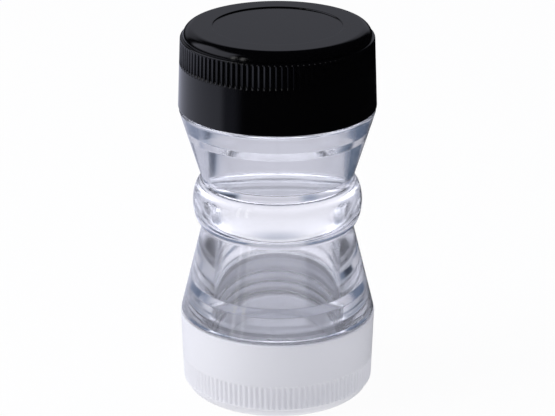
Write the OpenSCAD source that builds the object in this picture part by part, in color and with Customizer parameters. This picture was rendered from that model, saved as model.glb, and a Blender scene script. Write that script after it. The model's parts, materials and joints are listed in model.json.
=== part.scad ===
// Two-compartment spice shaker: a clear double-ended container with a solid
// waist ring, a perforated insert in each neck and a ribbed screw cap on each end.
// Millimetres, +Z up. The origin is the centre of the face that it stands on.

/* [Caps] */
// Diameter of a cap at its open rim
cap_d = 43; // [38:0.5:56]
// Height of a cap, from its rim to its closed face
cap_h = 17.9; // [15:0.1:26]
// How much the cap's radius shrinks from the rim to the ledge
cap_draft = 0.55; // [0.1:0.05:0.8]
// Thickness of the cap's closed end
cap_top_t = 1.8; // [1.4:0.1:3]
// Thickness of the cap's side wall at the rim
cap_wall = 1.7; // [1.5:0.1:2.6]
// Height of the rounded shoulder above the ledge
shoulder_h = 2.2; // [1.4:0.05:3.4]
// Width of the rounded shoulder, seen from above
shoulder_w = 2.15; // [1:0.05:4]
// Width of the small ledge between the ribs and the shoulder
ledge_w = 0.6; // [0.2:0.05:0.9]
// Round on the outer edge of the cap's rim
rim_round = 0.35; // [0.1:0.05:0.8]
// Bevel in the inner corner of the cap
corner_bevel = 1.2; // [0.4:0.1:1.6]
// Diameter of the shallow round recess in the closed face
recess_d = 28; // [10:0.5:32]
// Depth of that recess
recess_depth = 0.25; // [0.1:0.05:0.6]

/* [Grip ribs] */
// Number of ribs round a cap
rib_count = 108; // [60:6:132]
// Height of the ribbed band
rib_h = 5.5; // [2:0.1:8]
// Plain edge between the ribbed band and the ledge
rib_margin = 0.3; // [0.2:0.05:1]
// Depth of the grooves between the ribs, where the band starts
rib_depth = 0.45; // [0.3:0.05:0.55]
// Share of the rib spacing that is flat at the rib's top and at the groove's floor
rib_flat = 0.2; // [0.1:0.05:0.4]

/* [Container] */
// How far the clear shoulder stays inside the cap's rim
shoulder_inset = 0.2; // [0:0.05:1]
// Gap between a closed cap and the clear shoulder
rim_gap = 0.3; // [0.2:0.05:0.8]
// Round on the edge of the clear shoulder
shoulder_round = 0.5; // [0.2:0.1:1.2]
// Diameter at the bottom of the two grooves beside the waist ring
groove_d = 32.8; // [28:0.2:36]
// Height of the lower cone, from the clear shoulder to its groove
salt_cone_h = 20.6; // [12:0.1:60]
// Height of the upper cone, from its groove to the clear shoulder
pepper_cone_h = 16.3; // [12:0.1:60]
// How far the waist ring stands out of the grooves
ring_depth = 2.1; // [1:0.1:4]
// Height of the waist ring
ring_h = 10.1; // [6:0.1:16]
// Solid below the middle of the waist ring, down to the lower chamber
salt_web = 5.45; // [2:0.05:8]
// Solid above the middle of the waist ring, up to the upper chamber
pepper_web = 6.35; // [2:0.05:8]
// Wall of the lower chamber at its closed end, measured at the groove
salt_wall = 1.2; // [0.9:0.1:4]
// Wall of the upper chamber at its closed end, measured at the groove
pepper_wall = 1.8; // [0.9:0.1:4]
// Round in the closed corner of a chamber
chamber_round = 0.6; // [0.4:0.1:3]

/* [Necks] */
// Room for the thread between the neck and the cap's inside
thread_room = 1.1; // [0.8:0.1:2]
// Wall of the neck
neck_wall = 2.4; // [1.4:0.1:3]
// How far the neck's bore runs into the cone, past the shoulder
bore_in = 6; // [3:0.1:9]
// Width of the step from the bore in to the chamber
step_w = 0.9; // [0.3:0.1:2]
// Height of that step's slope
step_h = 1.8; // [0.3:0.1:2.4]
// Bevel on the neck's outer edge
neck_bevel = 0.4; // [0.1:0.1:0.8]

/* [Sifters and liners] */
// How far a sifter's flange stays inside the neck's outside
flange_inset = 0.4; // [0.2:0.1:1]
// Thickness of a sifter's plate and flange
plate_t = 1.2; // [0.8:0.1:2]
// Depth of the sifter's skirt below the plate
skirt_h = 5; // [3:0.1:12]
// Wall of the sifter's skirt
skirt_t = 1; // [0.7:0.1:1.5]
// Gap all round between the skirt and the bore
sifter_fit = 0.05; // [0.02:0.01:0.15]
// Diameter of a sifting hole
hole_d = 2.4; // [1.5:0.1:3.4]
// Distance from the middle hole to the ring of sifting holes round it
hole_step = 4.6; // [4:0.1:8]
// Thickness of a cap's sealing liner
liner_t = 1; // [0.6:0.1:1.6]
// Gap all round between the liner and the cap's inner corner
liner_gap = 0.3; // [0.2:0.05:0.8]

/* [Hidden] */
$fn = 96;

// Overlap that carries a cut past the face it starts from
cut = 1;
// Sifting holes in the ring round the middle one
ring_holes = 6;
// Straight steps that stand for a quarter turn in an outline
round_steps = 4;
bow_steps = 12;

// Radii of a cap, from its rim inwards
rim_r = cap_d / 2;
ledge_r = rim_r - cap_draft;
shoulder_r = ledge_r - ledge_w;
face_r = shoulder_r - shoulder_w;
cap_bore_r = rim_r - cap_wall;
corner_r = cap_bore_r - corner_bevel;
liner_r = corner_r - liner_gap;

// Heights in a cap, from its open rim
ledge_z = cap_h - shoulder_h;
rib_low_z = ledge_z - rib_margin - rib_h;
cap_inside_z = cap_h - cap_top_t;
liner_low_z = cap_inside_z - liner_t;
plate_low_z = liner_low_z - plate_t;

// Ribs: their tops lie on the cap's side where the band starts
rib_r = rim_r - cap_draft * rib_low_z / ledge_z;
rib_angle = 360 / rib_count;

// Radii of the container
clear_r = rim_r - shoulder_inset;
neck_r = cap_bore_r - thread_room;
bore_r = neck_r - neck_wall;
chamber_r = bore_r - step_w;
groove_r = groove_d / 2;
flange_r = neck_r - flange_inset;
skirt_r = bore_r - sifter_fit;

// Heights of the container, from the face that it stands on
neck_h = plate_low_z + rim_gap;
ring_mid_z = cap_h + rim_gap + salt_cone_h + ring_h / 2;
pepper_rim_z = ring_mid_z + ring_h / 2 + pepper_cone_h + rim_gap;

// Points on a quarter of an ellipse, from angle a to angle b
function bow(r, z, w, h, a, b, n) =
    [for (i = [0 : n]) let (t = a + (b - a) * i / n) [r + w * cos(t), z + h * sin(t)]];

// Outline of one half of the container, outside and then inside, with its heights from the ring's middle
function cup(cone_h, end_z, end_wall) =
    let (
        shoulder_z = ring_h / 2 + cone_h,
        mouth_z = shoulder_z + neck_h,
        step_z = shoulder_z - bore_in,
        end_r = groove_r - end_wall
    )
    concat(
        bow(groove_r, 0, ring_depth, ring_h / 2, 0, 90, bow_steps),
        bow(clear_r - shoulder_round, shoulder_z - shoulder_round,
            shoulder_round, shoulder_round, 0, 90, round_steps),
        [[neck_r, shoulder_z], [neck_r, mouth_z - neck_bevel], [neck_r - neck_bevel, mouth_z]],
        [[bore_r, mouth_z], [bore_r, step_z + step_h], [chamber_r, step_z]],
        bow(end_r - chamber_round, end_z + chamber_round,
            chamber_round, chamber_round, 0, -90, round_steps),
        [[0, end_z]]
    );

// The same points from last to first, turned over about the ring's middle
function turned_over(points) =
    [for (i = [len(points) - 1 : -1 : 1]) [points[i][0], -points[i][1]]];

module body() {
    color([0.86, 0.89, 0.94, 0.4])
        translate([0, 0, ring_mid_z])
            rotate_extrude()
                polygon(concat(
                    cup(pepper_cone_h, pepper_web, pepper_wall),
                    turned_over(cup(salt_cone_h, salt_web, salt_wall))
                ));
}

// Side wall and closed end of a cap, standing on its open rim
module cap_shell() {
    rotate_extrude()
        polygon(concat(
            [[cap_bore_r, 0]],
            bow(rim_r - rim_round, rim_round, rim_round, rim_round, -90, 0, round_steps),
            [[ledge_r, ledge_z]],
            bow(face_r, ledge_z, shoulder_w, shoulder_h, 0, 90, bow_steps),
            [[recess_d / 2, cap_h], [recess_d / 2, cap_h - recess_depth], [0, cap_h - recess_depth]],
            [[0, cap_inside_z], [corner_r, cap_inside_z], [cap_bore_r, cap_inside_z - corner_bevel]]
        ));
}

// Outline of the ribs, with flat tops and flat groove floors
module rib_outline() {
    floor_r = rib_r - rib_depth;
    flat_a = rib_angle * rib_flat;
    half_a = rib_angle / 2;
    polygon([
        for (i = [0 : rib_count - 1])
            for (p = [[rib_r, 0], [rib_r, flat_a], [floor_r, half_a], [floor_r, half_a + flat_a]])
                p[0] * [cos(i * rib_angle + p[1]), sin(i * rib_angle + p[1])]
    ]);
}

// What is cut away between the ribs
module rib_grooves() {
    translate([0, 0, rib_low_z])
        linear_extrude(rib_h)
            difference() {
                circle(rib_r + cut);
                rib_outline();
            }
}

module cap() {
    difference() {
        cap_shell();
        rib_grooves();
    }
}

// Sealing disc against the inside of a cap's closed end
module liner() {
    translate([0, 0, liner_low_z])
        cylinder(r = liner_r, h = liner_t);
}

// Plate with its holes, seated on the neck, and the skirt that is pressed into the bore
module sifter() {
    translate([0, 0, plate_low_z])
        difference() {
            union() {
                cylinder(r = flange_r, h = plate_t);
                translate([0, 0, -skirt_h])
                    cylinder(r = skirt_r, h = skirt_h + plate_t);
            }
            translate([0, 0, -skirt_h - cut])
                cylinder(r = skirt_r - skirt_t, h = skirt_h + cut);
            sifting_holes();
        }
}

module sifting_hole() {
    translate([0, 0, -cut])
        cylinder(d = hole_d, h = plate_t + 2 * cut, $fn = 32);
}

module sifting_holes() {
    sifting_hole();
    for (i = [1 : ring_holes])
        rotate(360 * i / ring_holes)
            translate([hole_step, 0, 0])
                sifting_hole();
}

// Places a piece of a closure, made standing on the cap's rim, on the upper end
module on_top() {
    translate([0, 0, pepper_rim_z])
        children();
}

// Places it on the lower end, turned over
module at_base() {
    translate([0, 0, cap_h])
        rotate([180, 0, 0])
            children();
}

module pepper_sifter() {
    color("whitesmoke") on_top() sifter();
}

module pepper_liner() {
    color("gainsboro") on_top() liner();
}

module pepper_cap() {
    color([0.06, 0.06, 0.06]) on_top() cap();
}

module salt_sifter() {
    color("whitesmoke") at_base() sifter();
}

module salt_liner() {
    color("gainsboro") at_base() liner();
}

module salt_cap() {
    color("white") at_base() cap();
}

body();
pepper_sifter();
pepper_liner();
pepper_cap();
salt_sifter();
salt_liner();
salt_cap();
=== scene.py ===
import json
import math

import bmesh
import bpy
from bpy.props import FloatProperty, FloatVectorProperty, IntProperty, PointerProperty
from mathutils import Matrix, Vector


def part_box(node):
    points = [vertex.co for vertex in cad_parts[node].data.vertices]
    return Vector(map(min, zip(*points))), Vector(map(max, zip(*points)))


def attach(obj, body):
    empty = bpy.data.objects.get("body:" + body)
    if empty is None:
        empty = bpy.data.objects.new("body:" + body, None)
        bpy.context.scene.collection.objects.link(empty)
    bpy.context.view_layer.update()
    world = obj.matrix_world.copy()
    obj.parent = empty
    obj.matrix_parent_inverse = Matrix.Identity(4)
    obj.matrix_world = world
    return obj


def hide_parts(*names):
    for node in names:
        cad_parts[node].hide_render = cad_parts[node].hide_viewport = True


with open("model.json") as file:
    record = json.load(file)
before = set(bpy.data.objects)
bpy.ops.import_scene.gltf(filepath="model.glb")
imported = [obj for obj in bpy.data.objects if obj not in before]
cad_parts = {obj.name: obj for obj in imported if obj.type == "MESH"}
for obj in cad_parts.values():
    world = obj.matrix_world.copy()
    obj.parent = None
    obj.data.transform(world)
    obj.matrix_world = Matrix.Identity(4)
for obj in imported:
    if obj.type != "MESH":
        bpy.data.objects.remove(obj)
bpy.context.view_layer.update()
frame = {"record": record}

bl_info = {
    "name": "Two-compartment spice shaker",
    "version": (1, 0, 0),
    "blender": (4, 5, 0),
    "location": "View3D > Sidebar > Shaker",
    "description": "Models a clear double-ended spice shaker over its packed frame",
    "category": "Object",
}

MM = 0.001

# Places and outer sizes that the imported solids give
BODY_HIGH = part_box("body")[1]
CAP_LOW, CAP_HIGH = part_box("pepper_cap")
SALT_CAP_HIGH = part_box("salt_cap")[1]
SIFTER_LOW, SIFTER_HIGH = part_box("pepper_sifter")
LINER_LOW, LINER_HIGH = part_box("pepper_liner")
LIFT_PER_RADIAN = frame["record"]["behaviour"]["couplings"][0]["ratio"]

# Points closer than this are one point
MERGE = 0.001 * MM

# Long straight stretches of an outline are held by a point at this distance from each end
HOLD = 0.12 * MM
LONG_STRETCH = 6 * HOLD

# Straight steps that stand for a round in an outline
LIP_STEPS = 3
SMALL_STEPS = 4
EDGE_STEPS = 6
CREST_STEPS = 12
SHOULDER_STEPS = 20
RING_STEPS = 40

# Steps once round a piece
CONTAINER_TURN = 240
SIFTER_TURN = 144
LINER_TURN = 96
THREAD_TURN = 96
HOLE_TURN = 32

# Faces that meet at less than these angles, in degrees, are shaded as one
SOFT_ANGLE = 35
RIB_SOFT_ANGLE = 50

# Edges of a sifter that turn by more than this, in degrees, are bevelled
BEVEL_ANGLE = 40

# Sifting holes in the ring round the middle one
RING_HOLES = 6

# A rib's sector of a cap has this many columns. Half of the groove's columns follow, each with its
# share of the groove's depth. The other half mirrors them.
SECTOR_COLUMNS = 8
GROOVE_COLUMNS = ((1, 0.12), (2, 0.5), (3, 0.86), (4, 1.0))

# A groove gets shallower towards its ends. A row there has a height in millimetres, above the
# groove's start or below the round on the ledge's edge, and the share of the depth that it misses.
# The last two shares are missed by the first two rows of that round.
GROOVE_START = ((0.0, 1.0), (0.1, 0.6), (0.25, 0.3), (0.5, 0.08), (0.8, 0.0))
GROOVE_END = ((0.5, 0.0), (0.2, 0.08))
GROOVE_ROUND = (0.3, 0.6)


def length(name, description, default):
    """A size in metres that a user may change."""
    return FloatProperty(
        name=name, description=description, default=default, unit="LENGTH", precision=5
    )


def colour(name, description, default):
    """A colour that a user may change."""
    return FloatVectorProperty(
        name=name, description=description, default=default, size=3, min=0, max=1, subtype="COLOR"
    )


class ContainerSizes(bpy.types.PropertyGroup):
    shoulder_r: length("Shoulder radius", "Radius of the clear shoulder at each cap", BODY_HIGH.x)
    shoulder_round: length("Shoulder round", "Round on the edge of the clear shoulder", 0.5 * MM)
    rim_gap: length("Rim gap", "Gap between a closed cap and the clear shoulder", 0.3 * MM)
    groove_r: length("Groove radius", "Radius in the grooves beside the waist ring", 16.4 * MM)
    ring_depth: length("Ring depth", "How far the waist ring stands out of its grooves", 2.1 * MM)
    ring_h: length("Ring height", "Height of the waist ring", 10.1 * MM)
    salt_cone_h: length("Lower cone", "Height from the lower shoulder to the waist ring", 20.6 * MM)
    salt_web: length("Web below", "Solid below the middle of the waist ring", 5.45 * MM)
    pepper_web: length("Web above", "Solid above the middle of the waist ring", 6.35 * MM)
    salt_end_r: length("Lower end", "Radius of the lower chamber at its closed end", 15.2 * MM)
    pepper_end_r: length("Upper end", "Radius of the upper chamber at its closed end", 14.6 * MM)
    chamber_r: length("Chamber radius", "Radius of a chamber at the step to its neck", 15.4 * MM)
    chamber_round: length("Chamber round", "Round in the closed corner of a chamber", 0.6 * MM)
    bore_r: length("Bore radius", "Radius of the bore that takes the sifter", 16.3 * MM)
    bore_in: length("Bore depth", "How far the bore runs into the cone", 6 * MM)
    step_h: length("Step height", "Height of the slope from the bore in to the chamber", 1.8 * MM)
    neck_r: length("Neck radius", "Radius of the neck under the thread", 18.7 * MM)
    neck_round: length("Neck round", "Round at the root and on the mouth of the neck", 0.4 * MM)
    flange_air: length("Flange air", "Air between a neck's mouth and its flange", 0.04 * MM)


class ClosureSizes(bpy.types.PropertyGroup):
    rim_r: length("Rim radius", "Radius of a cap at its open rim", CAP_HIGH.x)
    cap_h: length("Cap height", "Height from the rim to the closed face", CAP_HIGH.z - CAP_LOW.z)
    draft: length("Draft", "How much the radius shrinks from the rim to the ledge", 0.55 * MM)
    shoulder_h: length("Shoulder height", "Height of the round shoulder above the ledge", 2.2 * MM)
    shoulder_w: length("Shoulder width", "Width of the round shoulder", 2.15 * MM)
    ledge_w: length("Ledge width", "Width of the ledge between the ribs and the shoulder", 0.6 * MM)
    ledge_round_w: length("Edge width", "Width of the round on the ledge's outer edge", 0.32 * MM)
    ledge_round_h: length("Edge height", "Height of the round on the ledge's outer edge", 0.5 * MM)
    rim_round: length("Rim round", "Round on the outer edge of the rim", 0.35 * MM)
    bore_r: length("Cap bore", "Inner radius of a cap", 19.8 * MM)
    corner_bevel: length("Corner bevel", "Bevel in the inner corner of a cap", 1.2 * MM)
    recess_r: length("Recess radius", "Radius of the shallow recess in the closed face", 14 * MM)
    recess_depth: length("Recess depth", "Depth of that recess", 0.25 * MM)
    rib_count: IntProperty(name="Ribs", description="Grip ribs round a cap", default=108, min=12)
    rib_low: length("Rib start", "Height above the rim at which the grooves start", 9.9 * MM)
    rib_depth: length("Rib depth", "Depth of the grooves between the ribs", 0.3 * MM)
    plate_t: length("Plate", "Thickness of a sifter's plate and flange", 1.2 * MM)
    skirt_r: length("Skirt radius", "Outer radius of a sifter's skirt", 16.25 * MM)
    skirt_t: length("Skirt wall", "Wall of a sifter's skirt", 1 * MM)
    hole_r: length("Hole radius", "Radius of a sifting hole", 1.2 * MM)
    hole_step: length("Hole spacing", "Distance from the middle hole to the others", 4.6 * MM)
    sifter_bevel: length("Sifter bevel", "Bevel on the edges of a sifter", 0.12 * MM)
    liner_round: length("Liner round", "Round on the edges of a liner", 0.2 * MM)
    press_depth: length("Press mark", "Depth of the ring pressed into a liner", 0.06 * MM)
    press_w: length("Press width", "Width of that ring", 1.6 * MM)
    press_slope: length("Press slope", "Width of the slope at both sides of that ring", 0.2 * MM)


class ThreadSizes(bpy.types.PropertyGroup):
    pitch: length("Pitch", "Rise of the thread in one turn", 2 * math.pi * LIFT_PER_RADIAN)
    turns: IntProperty(name="Turns", description="Turns of the thread", default=3, min=1)
    start_z: length("Start", "Height above the cap's rim where a neck's thread starts", 2.9 * MM)
    height: length("Height", "How far a thread stands out of its wall", 0.35 * MM)
    width: length("Width", "Width of a thread at its foot", 2.2 * MM)
    sunk: length("Sunk", "How far a thread's foot lies inside its wall", 0.05 * MM)
    run_out: length("Run-out", "Length over which a thread's end sinks into its wall", 9 * MM)


class Finishes(bpy.types.PropertyGroup):
    clear: colour("Clear plastic", "Tint of the clear container", (0.985, 0.99, 1.0))
    black: colour("Black plastic", "Colour of the pepper cap", (0.001, 0.001, 0.0013))
    white: colour("White plastic", "Colour of the salt cap", (0.925, 0.925, 0.99))
    sifter: colour("Sifter plastic", "Colour of the sifters", (0.80, 0.80, 0.81))
    foam: colour("Liner foam", "Colour of the sealing liners", (0.82, 0.82, 0.80))


class StageSettings(bpy.types.PropertyGroup):
    aim_z: length("Aim height", "Height of the point that the camera turns about", 43.98 * MM)
    distance: length("Distance", "Distance from the camera to that point", 564.1 * MM)
    elevation: FloatProperty(
        name="Elevation", description="Camera's angle above the floor",
        default=math.radians(20.644), subtype="ANGLE",
    )
    tilt: FloatProperty(
        name="Tilt", description="How far the camera points below that point",
        default=math.radians(0.2294), subtype="ANGLE",
    )
    lens: FloatProperty(name="Lens", description="Focal length in millimetres", default=166.9)
    floor_size: length("Floor", "Width of the floor", 6.0)


WHITE = (1.0, 1.0, 1.0)

# The floor's dull colour, and its share in what the camera sees, which sets the shadow's strength
FLOOR_COLOUR = (0.92, 0.92, 0.93)
SHADOW_SHARE = 0.06

# Lamps: a name, a place, a width and a height in metres, and a power in watts
SOFT_BOXES = (
    ("left_soft_box", (-0.6, -0.1, 0.5), 0.5, 0.6, 3.0),
    ("top_soft_box", (0.0, 0.1, 0.9), 0.8, 0.8, 3.4),
)

# Even light on dull surfaces
AMBIENT = (0.31, 0.32, 0.39)

# The studio as the shaker mirrors it and as it shows through the clear plastic. A panel lies
# between two bearings, where 0 is behind the shaker and 90 is at its right, and two heights, all in
# degrees. It ends with the softness of its edges and its colour.
MIRRORED_ROOM = (0.004, 0.004, 0.005)
MIRRORED_PANELS = (
    (-181, 181, -91, -55, 6, (0.6, 0.6, 0.64)),
    (-134, -110, -42, -12, 8, (0.20, 0.21, 0.28)),
    (-114, -2, -42, -12, 5, (0.62, 0.64, 0.78)),
    (-122, -58, 3, 46, 6, (0.85, 0.86, 1.0)),
    (-40, 25, 2, 33, 6, (0.22, 0.225, 0.26)),
    (-140, -136, -4, 24, 2, (2.0, 2.0, 2.0)),
    (-128, -124, -4, 24, 2, (2.0, 2.0, 2.0)),
)
SEEN_ROOM = (0.30, 0.34, 0.45)
SEEN_PANELS = (
    (-62, -24, -91, 8, 4, (0.50, 0.51, 0.60)),
    (-14, 23, -91, 8, 4, (0.62, 0.62, 0.70)),
    (-27, -16, -13, 8, 2, (0.01, 0.02, 0.04)),
    (27, 62, -30, 8, 4, (0.14, 0.18, 0.26)),
    (25, 50, -21, -8, 3, (0.01, 0.02, 0.04)),
    (-80, 80, 8, 25, 3, (0.13, 0.17, 0.26)),
    (-16, 16, 8, 25, 3, (0.42, 0.43, 0.50)),
    (-181, 181, -91, -30, 6, (0.88, 0.88, 0.98)),
    (-70, 70, 27, 50, 3, (0.86, 0.86, 0.94)),
    (-181, 181, 50, 91, 8, (0.9, 0.9, 1.0)),
    (110, 181, -28, 91, 8, (0.75, 0.76, 0.88)),
    (-181, -110, -28, 91, 8, (0.75, 0.76, 0.88)),
    (130, 181, -60, -30, 6, (3.4, 3.4, 3.8)),
    (-181, -130, -60, -30, 6, (3.4, 3.4, 3.8)),
    (75, 181, 20, 65, 8, (3.0, 3.05, 3.5)),
    (-181, -75, 20, 65, 8, (3.0, 3.05, 3.5)),
)

# Modelling by operators


def only(piece):
    """Selects one object alone and makes it active."""
    bpy.ops.object.select_all(action="DESELECT")
    piece.select_set(True)
    bpy.context.view_layer.objects.active = piece


def start_point(name, point):
    """Adds a plane, merges it into one vertex and leaves that at a point, in edit mode."""
    bpy.ops.object.select_all(action="DESELECT")
    bpy.ops.mesh.primitive_plane_add(size=MM)
    piece = bpy.context.object
    piece.name = name
    piece.data.name = name
    bpy.ops.object.mode_set(mode="EDIT")
    bpy.ops.mesh.select_mode(type="VERT")
    bpy.ops.mesh.select_all(action="SELECT")
    bpy.ops.mesh.merge(type="CENTER")
    bpy.ops.transform.translate(value=(point[0], 0, point[1]))
    return piece


def draw_outline(name, points):
    """Extrudes one vertex along an outline of radii and heights, and leaves it in edit mode."""
    piece = start_point(name, points[0])
    for here, there in zip(points, points[1:]):
        step = (there[0] - here[0], 0, there[1] - here[1])
        bpy.ops.mesh.extrude_region_move(TRANSFORM_OT_translate={"value": step})
    return piece


def choose(piece, test):
    """Selects the vertices whose place passes a test, in edit mode."""
    mesh = bmesh.from_edit_mesh(piece.data)
    for vertex in mesh.verts:
        vertex.select = bool(test(vertex.co))
    mesh.select_flush(True)
    mesh.select_flush(False)
    bmesh.update_edit_mesh(piece.data)


def close_mesh():
    """Merges doubles, turns the faces outwards and leaves edit mode."""
    bpy.ops.mesh.select_all(action="SELECT")
    bpy.ops.mesh.remove_doubles(threshold=MERGE)
    bpy.ops.mesh.dissolve_degenerate(threshold=MERGE)
    bpy.ops.mesh.normals_make_consistent(inside=False)
    bpy.ops.object.mode_set(mode="OBJECT")


def turn(name, points, steps):
    """Spins an outline, which starts and ends on the axis, into a closed round piece."""
    piece = draw_outline(name, points)
    bpy.ops.mesh.select_all(action="SELECT")
    bpy.ops.mesh.spin(steps=steps, angle=2 * math.pi, center=(0, 0, 0), axis=(0, 0, 1))
    close_mesh()
    return piece


def apply_modifier(piece, kind, **settings):
    """Adds a modifier with its settings and applies it."""
    only(piece)
    modifier = piece.modifiers.new(kind.lower(), kind)
    for name, value in settings.items():
        setattr(modifier, name, value)
    bpy.ops.object.modifier_apply(modifier=modifier.name)


def cut_or_join(piece, other, operation):
    """Cuts another closed piece from this one or joins it on, deletes it and merges slivers."""
    apply_modifier(piece, "BOOLEAN", operation=operation, solver="EXACT", object=other)
    bpy.data.objects.remove(other)
    bpy.ops.object.mode_set(mode="EDIT")
    close_mesh()


def copy_of(piece, name):
    """A copy of a piece with a mesh of its own."""
    only(piece)
    bpy.ops.object.duplicate(linked=False)
    twin = bpy.context.object
    twin.name = name
    twin.data.name = name
    return twin


def settle():
    """Puts the selected piece's place into its mesh."""
    bpy.ops.object.transform_apply(location=True, rotation=True, scale=True)


def on_top(piece):
    """Moves a piece that was made standing on a cap's rim to the upper end."""
    only(piece)
    bpy.ops.transform.translate(value=(0, 0, CAP_LOW.z))
    settle()


def at_base(piece):
    """Turns such a piece over and moves it to the lower end."""
    only(piece)
    bpy.ops.transform.rotate(value=math.pi, orient_axis="X", center_override=(0, 0, 0))
    bpy.ops.transform.translate(value=(0, 0, SALT_CAP_HIGH.z))
    settle()


def finish_piece(piece, body, node, material, smooth=SOFT_ANGLE):
    """Shades a piece, gives it its material and ties it to the frame."""
    only(piece)
    bpy.ops.object.shade_smooth_by_angle(angle=math.radians(smooth))
    piece.data.materials.clear()
    piece.data.materials.append(material)
    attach(piece, body)
    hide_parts(node)


# Outlines: radii and heights in metres


def arc(r, z, width, height, start, end, steps):
    """Points on a stretch of an ellipse about a centre, with angles in degrees."""
    angles = [math.radians(start + (end - start) * i / steps) for i in range(steps + 1)]
    return [(r + width * math.cos(a), z + height * math.sin(a)) for a in angles]


def held(points):
    """The same outline with points near the ends of long stretches, to keep their shading flat."""
    result = [points[0]]
    for here, there in zip(points, points[1:]):
        run = math.dist(here, there)
        if run > LONG_STRETCH:
            share = HOLD / run
            for t in (share, 1 - share):
                result.append(tuple(a + (b - a) * t for a, b in zip(here, there)))
        result.append(there)
    return result


def cup_outline(s, neck_h, cone_h, end_z, end_r):
    """One half of the container, from shoulder to chamber, with heights from the ring's middle."""
    shoulder = s.ring_h / 2 + cone_h
    mouth = shoulder + neck_h
    step = shoulder - s.bore_in
    edge, neck, lip, end = s.shoulder_round, s.neck_round, s.neck_round / 2, s.chamber_round
    return (
        arc(s.shoulder_r - edge, shoulder - edge, edge, edge, 0, 90, EDGE_STEPS)
        + arc(s.neck_r + neck, shoulder + neck, neck, neck, 270, 180, SMALL_STEPS)
        + arc(s.neck_r - neck, mouth - neck, neck, neck, 0, 90, SMALL_STEPS)
        + arc(s.bore_r + lip, mouth - lip, lip, lip, 90, 180, LIP_STEPS)
        + [(s.bore_r, step + s.step_h), (s.chamber_r, step)]
        + arc(end_r - end, end_z + end, end, end, 0, -90, EDGE_STEPS)
        + [(0, end_z)]
    )


def container_outline(s):
    """The whole container, from the end of its lower chamber round to the end of its upper one."""
    middle = SALT_CAP_HIGH.z + s.rim_gap + s.salt_cone_h + s.ring_h / 2
    pepper_cone_h = CAP_LOW.z - s.rim_gap - middle - s.ring_h / 2
    # A hair of air stays under the flange, because clear and opaque faces in one plane render dark
    neck_h = BODY_HIGH.z - CAP_LOW.z + s.rim_gap - s.flange_air
    lower = cup_outline(s, neck_h, s.salt_cone_h, s.salt_web, s.salt_end_r)
    upper = cup_outline(s, neck_h, pepper_cone_h, s.pepper_web, s.pepper_end_r)
    ring = arc(s.groove_r, 0, s.ring_depth, s.ring_h / 2, -90, 90, RING_STEPS)
    points = [(r, -z) for r, z in reversed(lower)] + ring + upper
    return held([(r, middle + z) for r, z in points])


def ledge_edge(s):
    """The rounded outer edge of a cap's ledge, from the side up."""
    r = s.rim_r - s.draft - s.ledge_round_w
    z = s.cap_h - s.shoulder_h - s.ledge_round_h
    return arc(r, z, s.ledge_round_w, s.ledge_round_h, 0, 90, EDGE_STEPS)


def rib_rows(s):
    """Rows at a groove's two ends: their heights and the share of the depth that each misses."""
    edge = [z for r, z in ledge_edge(s)]
    start = [(s.rib_low + up * MM, rise) for up, rise in GROOVE_START]
    end = [(edge[0] - down * MM, rise) for down, rise in GROOVE_END]
    return start + end + list(zip(edge, GROOVE_ROUND))


def cap_outline(s):
    """A cap standing on its rim, from the middle of its inside over the rim to its closed face."""
    plate = LINER_HIGH.z - CAP_LOW.z
    ledge = s.cap_h - s.shoulder_h
    face_r = s.rim_r - s.draft - s.ledge_w - s.shoulder_w
    edge = ledge_edge(s)
    side = [(s.rim_r - s.draft * z / ledge, z) for z, rise in rib_rows(s) if z < edge[0][1] - MERGE]
    recess = s.cap_h - s.recess_depth
    soft = s.recess_depth / 2
    lip = s.rim_round / 3
    below = (
        [(0, plate), (s.bore_r - s.corner_bevel, plate), (s.bore_r, plate - s.corner_bevel)]
        + arc(s.bore_r + lip, lip, lip, lip, 180, 270, LIP_STEPS)
        + arc(s.rim_r - s.rim_round, s.rim_round, s.rim_round, s.rim_round, -90, 0, EDGE_STEPS)
        + side[:1]
    )
    above = (
        edge
        + arc(face_r, ledge, s.shoulder_w, s.shoulder_h, 0, 90, SHOULDER_STEPS)
        + arc(s.recess_r + soft, s.cap_h - soft, soft, soft, 90, 180, LIP_STEPS)
        + arc(s.recess_r - soft, recess + soft, soft, soft, 0, -90, LIP_STEPS)
        + [(0, recess)]
    )
    return held(below) + side[1:] + held(above)


def sifter_outline(s):
    """A sifter in its place above the cap's rim, from its top round to its underside."""
    top = SIFTER_HIGH.z - CAP_LOW.z
    seat = top - s.plate_t
    foot = SIFTER_LOW.z - CAP_LOW.z
    flange_r = SIFTER_HIGH.x
    inner_r = s.skirt_r - s.skirt_t
    return held([
        (0, top), (flange_r, top), (flange_r, seat), (s.skirt_r, seat), (s.skirt_r, foot),
        (inner_r, foot), (inner_r, seat), (0, seat),
    ])


def liner_outline(s):
    """A liner in its place above the cap's rim, with the ring that a flange presses into it."""
    low, high = LINER_LOW.z - CAP_LOW.z, LINER_HIGH.z - CAP_LOW.z
    soft = s.liner_round
    mark = low + s.press_depth
    outer, inner = s.skirt_r + s.press_w, s.skirt_r
    return held(
        [(0, high)]
        + arc(LINER_HIGH.x - soft, high - soft, soft, soft, 90, 0, SMALL_STEPS)
        + arc(LINER_HIGH.x - soft, low + soft, soft, soft, 0, -90, SMALL_STEPS)
        + [(outer, low), (outer - s.press_slope, mark)]
        + [(inner + s.press_slope, mark), (inner, low), (0, low)]
    )


# Threads


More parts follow.
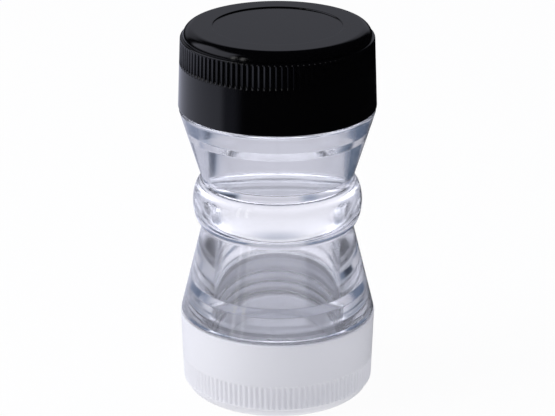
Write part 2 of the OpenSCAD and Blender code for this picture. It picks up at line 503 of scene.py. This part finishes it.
def thread(name, t, wall_r, inwards, start):
    """A right-hand thread inside or outside a round wall, from a height above the cap's rim."""
    way = -1 if inwards else 1
    foot_r = wall_r - way * t.sunk
    reach = way * (t.height + t.sunk)
    half = t.width / 2
    across = [2 * i / CREST_STEPS - 1 for i in range(CREST_STEPS + 1)]
    bulge = [(1 + math.cos(math.pi * x)) / 2 for x in across]
    points = [(foot_r + reach * y, start + half * x) for x, y in zip(across, bulge)]
    piece = draw_outline(name, points)
    choose(piece, lambda at: abs(at.x - foot_r) < MERGE)
    bpy.ops.mesh.edge_face_add()
    bpy.ops.object.mode_set(mode="OBJECT")
    apply_modifier(
        piece, "SCREW", axis="Z", angle=2 * math.pi, screw_offset=t.pitch, iterations=t.turns,
        steps=THREAD_TURN, render_steps=THREAD_TURN, use_merge_vertices=False,
    )
    bpy.ops.object.mode_set(mode="EDIT")
    bpy.ops.mesh.select_all(action="SELECT")
    bpy.ops.mesh.fill_holes(sides=0)
    shrink = 1 - reach / wall_r
    for end in (start, start + t.turns * t.pitch):
        choose(piece, lambda at: at.x > 0 and abs(at.y) < MERGE and abs(at.z - end) < half + MERGE)
        bpy.ops.transform.resize(
            value=(shrink, shrink, 1), center_override=(0, 0, end),
            use_proportional_edit=True, use_proportional_connected=True,
            proportional_edit_falloff="SMOOTH", proportional_size=t.run_out,
        )
    close_mesh()
    return piece


# Finishes


class Socket:
    """An output in a node tree, so that sums on it read as sums."""

    def __init__(self, tree, socket):
        self.tree = tree
        self.socket = socket

    def maths(self, operation, first, second):
        """A Math node on two values."""
        return self.tree.node("ShaderNodeMath", {"operation": operation}, {0: first, 1: second})

    def also(self, name):
        """Another output of the same node."""
        return Socket(self.tree, self.socket.node.outputs[name])

    def __add__(self, other):
        return self.maths("ADD", self, other)

    def __radd__(self, other):
        return self.maths("ADD", other, self)

    def __sub__(self, other):
        return self.maths("SUBTRACT", self, other)

    def __rsub__(self, other):
        return self.maths("SUBTRACT", other, self)

    def __mul__(self, other):
        return self.maths("MULTIPLY", self, other)

    def __rmul__(self, other):
        return self.maths("MULTIPLY", other, self)


class Tree:
    """A node tree of a material or of the world."""

    def __init__(self, owner):
        owner.use_nodes = True
        self.tree = owner.node_tree
        self.tree.nodes.clear()

    def node(self, kind, settings=None, sockets=None, out=0):
        """Adds a node, sets it and its sockets, and returns one of its outputs."""
        made = self.tree.nodes.new(kind)
        for name, value in (settings or {}).items():
            setattr(made, name, value)
        for name, value in (sockets or {}).items():
            if isinstance(value, Socket):
                self.tree.links.new(value.socket, made.inputs[name])
            elif isinstance(value, tuple) and made.inputs[name].type == "RGBA":
                made.inputs[name].default_value = (*value, 1)
            else:
                made.inputs[name].default_value = value
        return Socket(self, made.outputs[out]) if made.outputs else None

    def smooth(self, value, low, high):
        """0 below low, 1 above high and a soft step between."""
        return self.node(
            "ShaderNodeMapRange", {"interpolation_type": "SMOOTHSTEP"},
            {"Value": value, "From Min": low, "From Max": high},
        )

    def blend(self, factor, first, second):
        """A colour between two."""
        sockets = {0: factor, 6: first, 7: second}
        return self.node("ShaderNodeMix", {"data_type": "RGBA"}, sockets, out=2)

    def between(self, angle, low, high, soft):
        """1 between two angles in degrees and 0 outside them, with soft ends."""
        low, high, soft = math.radians(low), math.radians(high), math.radians(soft)
        starts = self.smooth(angle, low - soft, low + soft)
        ends = self.smooth(angle, high - soft, high + soft)
        return starts * (1 - ends)

    def panels(self, base, panels, bearing, height):
        """A base colour with soft panels over it, each between two bearings and two heights."""
        shade = base
        for left, right, low, high, soft, tint in panels:
            mask = self.between(bearing, left, right, soft) * self.between(height, low, high, soft)
            shade = self.blend(mask, shade, tint)
        return shade

    def place(self, kind):
        """Coordinates of a kind: a piece's own, or the way that a ray goes."""
        return self.node("ShaderNodeTexCoord", out=kind)

    def split(self, vector):
        """The X of a vector, whose Y and Z are outputs of the same node."""
        return self.node("ShaderNodeSeparateXYZ", None, {0: vector})

    def noise(self, scale, detail=2.0):
        """Soft noise on the piece's own coordinates, with a scale in features per metre."""
        sockets = {"Vector": self.place("Object"), "Scale": scale, "Detail": detail}
        return self.node("ShaderNodeTexNoise", None, sockets)

    def bump(self, height, strength, distance):
        """A bump that a height makes."""
        sockets = {"Height": height, "Strength": strength, "Distance": distance}
        return self.node("ShaderNodeBump", None, sockets)

    def plastic(self, sockets):
        """A Principled shader with an output."""
        shader = self.node("ShaderNodeBsdfPrincipled", None, sockets)
        self.node("ShaderNodeOutputMaterial", None, {"Surface": shader})


def tone(tint, share):
    """A darker or lighter tone of a colour."""
    return tuple(c * share for c in tint)


def clear_plastic(tint):
    """Clear plastic with fine scuffs, faint waves and a painted shadow line above the salt cap's
    rim.
    """
    material = bpy.data.materials.new("clear_plastic")
    tree = Tree(material)
    scuffs = tree.noise(900.0, 4.0)
    waves = tree.noise(160.0, 1.0)
    base = tree.blend(tree.noise(40.0), tone(tint, 0.995), tone(tint, 1))
    height = tree.split(tree.place("Object")).also("Z")
    # Painted shadow: a dark band on the clear shoulder just above the salt cap's rim, standing for
    # the shade in the gap between the shoulder and the cap
    rim = SALT_CAP_HIGH.z
    starts = tree.smooth(height, rim - 0.1 * MM, rim + 0.1 * MM)
    ends = tree.smooth(height, rim + 0.7 * MM, rim + 1.0 * MM)
    tree.plastic({
        "Base Color": tree.blend(starts * (1 - ends), base, tone(tint, 0.55)),
        "Roughness": 0.06 + tree.smooth(scuffs, 0.55, 0.9) * 0.03,
        "IOR": 1.57,
        "Transmission Weight": 1.0,
        "Normal": tree.bump(waves, 0.03, 0.2 * MM),
    })
    return material


def black_plastic(tint):
    """Glossy black plastic with faint scuffs and the soft unevenness of a moulding."""
    material = bpy.data.materials.new("black_plastic")
    tree = Tree(material)
    scuffs = tree.noise(1200.0, 5.0)
    dust = tree.smooth(scuffs, 0.6, 0.8)
    base = tree.blend(dust, tone(tint, 1), tone(tint, 1.6))
    tree.plastic({
        "Base Color": base,
        "Roughness": 0.1 + 0.05 * scuffs,
        "IOR": 1.5,
        "Normal": tree.bump(tree.noise(500.0), 0.02, 0.1 * MM),
    })
    return material


def white_plastic(tint):
    """Satin white plastic, a little translucent."""
    material = bpy.data.materials.new("white_plastic")
    tree = Tree(material)
    mottle = tree.noise(150.0, 3.0)
    base = tree.blend(mottle, tone(tint, 0.985), tone(tint, 1))
    tree.plastic({
        "Base Color": base,
        "Roughness": 0.34 + 0.08 * tree.noise(1200.0, 4.0),
        "IOR": 1.49,
        "Subsurface Weight": 0.4,
        "Subsurface Radius": (1.0, 1.0, 1.0),
        "Subsurface Scale": 4 * MM,
        "Normal": tree.bump(tree.noise(700.0, 3.0), 0.02, 0.1 * MM),
    })
    return material


def sifter_plastic(tint):
    """Milky plastic of the sifters."""
    material = bpy.data.materials.new("sifter_plastic")
    tree = Tree(material)
    base = tree.blend(tree.noise(200.0, 3.0), tone(tint, 0.97), tone(tint, 1))
    tree.plastic({
        "Base Color": base,
        "Roughness": 0.4 + 0.1 * tree.noise(1500.0, 3.0),
        "IOR": 1.5,
        "Subsurface Weight": 1.0,
        "Subsurface Radius": (1.0, 1.0, 1.0),
        "Subsurface Scale": 3 * MM,
        "Normal": tree.bump(tree.noise(900.0), 0.03, 0.1 * MM),
    })
    return material


def liner_foam(tint):
    """Fine closed-cell foam of the sealing liners."""
    material = bpy.data.materials.new("liner_foam")
    tree = Tree(material)
    sockets = {"Vector": tree.place("Object"), "Scale": 2500.0}
    cells = tree.node("ShaderNodeTexVoronoi", None, sockets, out="Distance")
    base = tree.blend(cells, tone(tint, 1), tone(tint, 0.85))
    tree.plastic({
        "Base Color": base,
        "Roughness": 0.75 + 0.15 * cells,
        "Normal": tree.bump(cells, 0.4, 0.1 * MM),
    })
    return material


# Operators


class SHAKER_OT_container(bpy.types.Operator):
    """Models the clear container with its two threaded necks"""

    bl_idname = "shaker.container"
    bl_label = "Clear container"

    def execute(self, context):
        threads = context.scene.shaker_threads
        sizes = context.scene.shaker_container
        body = turn("clear_container", container_outline(sizes), CONTAINER_TURN)
        for place in (on_top, at_base):
            ridge = thread("neck_thread", threads, sizes.neck_r, False, threads.start_z)
            place(ridge)
            cut_or_join(body, ridge, "UNION")
        material = clear_plastic(context.scene.shaker_finishes.clear)
        finish_piece(body, "container", "body", material)
        return {"FINISHED"}


class SHAKER_OT_sifters(bpy.types.Operator):
    """Models the perforated sifter that is pressed into each neck"""

    bl_idname = "shaker.sifters"
    bl_label = "Sifters"

    def execute(self, context):
        sizes = context.scene.shaker_closures
        sifter = turn("pepper_sifter_insert", sifter_outline(sizes), SIFTER_TURN)
        cut_or_join(sifter, self.hole_cutters(sizes), "DIFFERENCE")
        apply_modifier(
            sifter, "BEVEL", width=sizes.sifter_bevel, segments=2,
            limit_method="ANGLE", angle_limit=math.radians(BEVEL_ANGLE),
        )
        twin = copy_of(sifter, "salt_sifter_insert")
        on_top(sifter)
        at_base(twin)
        material = sifter_plastic(context.scene.shaker_finishes.sifter)
        finish_piece(sifter, "container", "pepper_sifter", material)
        finish_piece(twin, "container", "salt_sifter", material)
        return {"FINISHED"}

    def hole_cutters(self, sizes):
        """Round bars right through the plate: one in the middle and a ring round it."""
        middle = SIFTER_HIGH.z - CAP_LOW.z - sizes.plate_t / 2
        through = 4 * sizes.plate_t
        reach = sizes.hole_step
        turns = [2 * math.pi * i / RING_HOLES for i in range(RING_HOLES)]
        bpy.ops.object.select_all(action="DESELECT")
        bars = []
        for x, y in [(0, 0)] + [(reach * math.cos(a), reach * math.sin(a)) for a in turns]:
            bpy.ops.mesh.primitive_cylinder_add(
                vertices=HOLE_TURN, radius=sizes.hole_r, depth=through, location=(x, y, middle),
            )
            bars.append(bpy.context.object)
        for bar in bars:
            bar.select_set(True)
        bpy.ops.object.join()
        return bpy.context.object


class SHAKER_OT_liners(bpy.types.Operator):
    """Models the sealing liner inside each cap"""

    bl_idname = "shaker.liners"
    bl_label = "Liners"

    def execute(self, context):
        liner = turn("pepper_seal", liner_outline(context.scene.shaker_closures), LINER_TURN)
        twin = copy_of(liner, "salt_seal")
        on_top(liner)
        at_base(twin)
        material = liner_foam(context.scene.shaker_finishes.foam)
        finish_piece(liner, "pepper_liner", "pepper_liner", material)
        finish_piece(twin, "salt_liner", "salt_liner", material)
        return {"FINISHED"}


class SHAKER_OT_caps(bpy.types.Operator):
    """Models the two ribbed screw caps"""

    bl_idname = "shaker.caps"
    bl_label = "Screw caps"

    def execute(self, context):
        sizes = context.scene.shaker_closures
        finishes = context.scene.shaker_finishes
        cap = self.ribbed_shell(sizes)
        self.add_thread(cap, context.scene.shaker_threads, sizes)
        twin = copy_of(cap, "salt_screw_cap")
        on_top(cap)
        at_base(twin)
        black, white = black_plastic(finishes.black), white_plastic(finishes.white)
        finish_piece(cap, "pepper_cap", "pepper_cap", black, RIB_SOFT_ANGLE)
        finish_piece(twin, "salt_cap", "salt_cap", white, RIB_SOFT_ANGLE)
        return {"FINISHED"}

    def ribbed_shell(self, sizes):
        """One rib's sector of the cap, grooved and then copied round."""
        sector = 2 * math.pi / sizes.rib_count
        piece = draw_outline("pepper_screw_cap", cap_outline(sizes))
        bpy.ops.mesh.select_all(action="SELECT")
        bpy.ops.mesh.spin(steps=SECTOR_COLUMNS, angle=sector, center=(0, 0, 0), axis=(0, 0, 1))
        rows = rib_rows(sizes)
        for column, depth in GROOVE_COLUMNS:
            for rise in sorted({rise for z, rise in rows}):
                if depth > rise:
                    heights = [z for z, share in rows if share == rise]
                    self.sink(piece, sizes, column, heights, depth - rise)
        bpy.ops.mesh.select_all(action="SELECT")
        bpy.ops.mesh.spin(
            steps=sizes.rib_count - 1, dupli=True, angle=2 * math.pi - sector,
            center=(0, 0, 0), axis=(0, 0, 1),
        )
        close_mesh()
        return piece

    def sink(self, piece, sizes, column, heights, share):
        """Moves the outer points of a groove's column and its mirror image in, at some heights."""
        wall_middle = (sizes.bore_r + sizes.rim_r) / 2
        columns_round = SECTOR_COLUMNS * sizes.rib_count

        def in_groove(at):
            if at.xy.length < wall_middle or not any(abs(at.z - z) < 2 * MERGE for z in heights):
                return False
            place = round(abs(math.atan2(at.y, at.x)) / (2 * math.pi) * columns_round)
            return place in (column, SECTOR_COLUMNS - column)

        choose(piece, in_groove)
        shrink = 1 - share * sizes.rib_depth / sizes.rim_r
        bpy.ops.transform.resize(value=(shrink, shrink, 1), center_override=(0, 0, 0))

    def add_thread(self, cap, threads, sizes):
        """Joins the inner thread on, half a pitch below the neck's."""
        start = threads.start_z - threads.pitch / 2
        ridge = thread("cap_thread", threads, sizes.bore_r, True, start)
        cut_or_join(cap, ridge, "UNION")


class SHAKER_OT_stage(bpy.types.Operator):
    """Sets the floor, the studio light and the camera"""

    bl_idname = "shaker.stage"
    bl_label = "Studio stage"

    def execute(self, context):
        settings = context.scene.shaker_stage
        context.scene.view_settings.view_transform = "Standard"
        # Light crosses many clear walls
        context.scene.cycles.max_bounces = 32
        context.scene.cycles.transmission_bounces = 32
        context.scene.cycles.glossy_bounces = 24
        context.scene.cycles.diffuse_bounces = 12
        self.floor(settings)
        self.world(context.scene)
        for box in SOFT_BOXES:
            self.soft_box(context.scene, settings, *box)
        self.camera(context.scene, settings)
        return {"FINISHED"}

    def floor(self, settings):
        """A wide white floor with a faint shadow, under the salt cap at every pose.

        Mirrored and refracted rays pass it and meet the studio's panels.
        """
        bpy.ops.object.select_all(action="DESELECT")
        bpy.ops.mesh.primitive_plane_add(size=settings.floor_size)
        floor = bpy.context.object
        floor.name = "studio_floor"
        floor.visible_glossy = False
        floor.visible_transmission = False
        material = bpy.data.materials.new("studio_floor")
        material.cycles.emission_sampling = "NONE"
        tree = Tree(material)
        camera = tree.node("ShaderNodeLightPath", out="Is Camera Ray")
        matt = tree.node("ShaderNodeBsdfDiffuse", None, {"Color": FLOOR_COLOUR})
        white = tree.node("ShaderNodeEmission", None, {"Color": WHITE})
        share = 1 - SHADOW_SHARE * camera
        shader = tree.node("ShaderNodeMixShader", None, {0: share, 1: matt, 2: white})
        tree.node("ShaderNodeOutputMaterial", None, {"Surface": shader})
        floor.data.materials.append(material)
        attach(floor, "salt_cap")

    def world(self, scene):
        """White to the camera, even light to dull surfaces and soft panels to the other rays."""
        world = bpy.data.worlds.new("studio")
        scene.world = world
        world.cycles.sampling_method = "NONE"
        tree = Tree(world)
        way = tree.split(tree.place("Generated"))
        bearing = tree.node("ShaderNodeMath", {"operation": "ARCTAN2"}, {0: way, 1: way.also("Y")})
        height = tree.node("ShaderNodeMath", {"operation": "ARCSINE"}, {0: way.also("Z")})
        rays = tree.node("ShaderNodeLightPath", out="Is Camera Ray")
        shade = AMBIENT
        for kind, base, panels in (
            ("Is Glossy Ray", MIRRORED_ROOM, MIRRORED_PANELS),
            ("Is Transmission Ray", SEEN_ROOM, SEEN_PANELS),
        ):
            field = tree.panels(base, panels, bearing, height)
            shade = tree.blend(rays.also(kind), shade, field)
        shade = tree.blend(rays, shade, WHITE)
        light = tree.node("ShaderNodeBackground", None, {"Color": shade, "Strength": 1.0})
        tree.node("ShaderNodeOutputWorld", None, {"Surface": light})

    def soft_box(self, scene, settings, name, place, width, height, power):
        """One area lamp that faces the shaker and isn't seen in it."""
        data = bpy.data.lights.new(name, "AREA")
        data.shape = "RECTANGLE"
        data.size = width
        data.size_y = height
        data.energy = power
        lamp = bpy.data.objects.new(name, data)
        scene.collection.objects.link(lamp)
        lamp.location = place
        way = Vector((0, 0, settings.aim_z)) - lamp.location
        lamp.rotation_euler = way.to_track_quat("-Z", "Y").to_euler()
        lamp.visible_glossy = False
        lamp.visible_transmission = False

    def camera(self, scene, settings):
        """The photograph's viewing angle."""
        data = bpy.data.cameras.new("camera")
        camera = bpy.data.objects.new("camera", data)
        scene.collection.objects.link(camera)
        up, down = settings.elevation, settings.elevation + settings.tilt
        camera.location = (
            0, -settings.distance * math.cos(up), settings.aim_z + settings.distance * math.sin(up),
        )
        way = Vector((0, math.cos(down), -math.sin(down)))
        camera.rotation_euler = way.to_track_quat("-Z", "Y").to_euler()
        data.lens = settings.lens
        data.sensor_width = 36
        data.clip_start = 0.01
        scene.camera = camera


class SHAKER_PT_panel(bpy.types.Panel):
    """Lists the steps that build the shaker"""

    bl_idname = "SHAKER_PT_panel"
    bl_label = "Spice shaker"
    bl_space_type = "VIEW_3D"
    bl_region_type = "UI"
    bl_category = "Shaker"

    def draw(self, context):
        for step in STEPS:
            self.layout.operator(step.bl_idname)


STEPS = (SHAKER_OT_container, SHAKER_OT_sifters, SHAKER_OT_liners, SHAKER_OT_caps, SHAKER_OT_stage)
GROUPS = {
    "shaker_container": ContainerSizes,
    "shaker_closures": ClosureSizes,
    "shaker_threads": ThreadSizes,
    "shaker_finishes": Finishes,
    "shaker_stage": StageSettings,
}


def register():
    for kind in (*GROUPS.values(), *STEPS, SHAKER_PT_panel):
        bpy.utils.register_class(kind)
    for name, group in GROUPS.items():
        setattr(bpy.types.Scene, name, PointerProperty(type=group))


def unregister():
    for name in GROUPS:
        delattr(bpy.types.Scene, name)
    for kind in (*GROUPS.values(), *STEPS, SHAKER_PT_panel):
        bpy.utils.unregister_class(kind)


def main():
    register()
    bpy.ops.shaker.container()
    bpy.ops.shaker.sifters()
    bpy.ops.shaker.liners()
    bpy.ops.shaker.caps()
    bpy.ops.shaker.stage()


if __name__ == "__main__":
    main()
